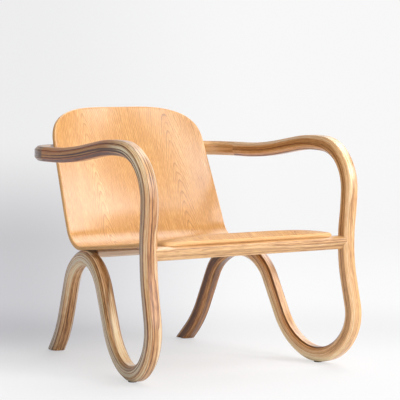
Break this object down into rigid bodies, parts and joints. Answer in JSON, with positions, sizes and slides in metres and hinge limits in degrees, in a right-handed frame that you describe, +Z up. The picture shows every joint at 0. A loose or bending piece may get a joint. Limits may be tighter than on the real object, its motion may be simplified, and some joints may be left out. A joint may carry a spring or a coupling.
{
  "type": "lounge chair",
  "caption": "Low lounge chair: bent laminated wood side frames that form arms, legs and rear arches, joined by rails, with a one-piece moulded plywood seat and back shell.",
  "frame": {"origin": "on the floor, midway between the two side frames, about the middle of the depth", "axes": "+Z up, +Y to the back, so the chair faces -Y; +X across, to the sitter's left"},
  "size_m": [0.6802, 0.7691, 0.7042],
  "materials": {
    "frame_laminated_wood": "satin lacquer, thin laminations seen on the bent edges",
    "shell_plywood": "satin lacquered veneer with a cathedral figure, plies seen on the edge",
    "dowel_beech": "plain turned wood",
    "screw_steel": "zinc plated",
    "insert_brass": "turned",
    "glide_plastic": "matt"
  },
  "bodies": {
    "root": {"arm_right": "frame_laminated_wood", "arm_left": "frame_laminated_wood", "leg_loop_right": "frame_laminated_wood", "leg_loop_left": "frame_laminated_wood", "back_corner_right": "frame_laminated_wood", "back_corner_left": "frame_laminated_wood", "back_rail": "frame_laminated_wood", "front_rail": "frame_laminated_wood", "rear_rail": "frame_laminated_wood", "seat_shell": "shell_plywood", "back_block_right": "frame_laminated_wood", "back_block_left": "frame_laminated_wood", "front_blocks": "frame_laminated_wood", "seam_dowels": "dowel_beech", "back_dowels": "dowel_beech", "leg_dowels": "dowel_beech", "front_rail_dowels": "dowel_beech", "rear_rail_dowels": "dowel_beech", "front_screws": "screw_steel", "arch_screws": "screw_steel", "back_screws": "screw_steel", "shell_inserts": "insert_brass", "foot_glides": "glide_plastic"}
  },
  "joints": []
}
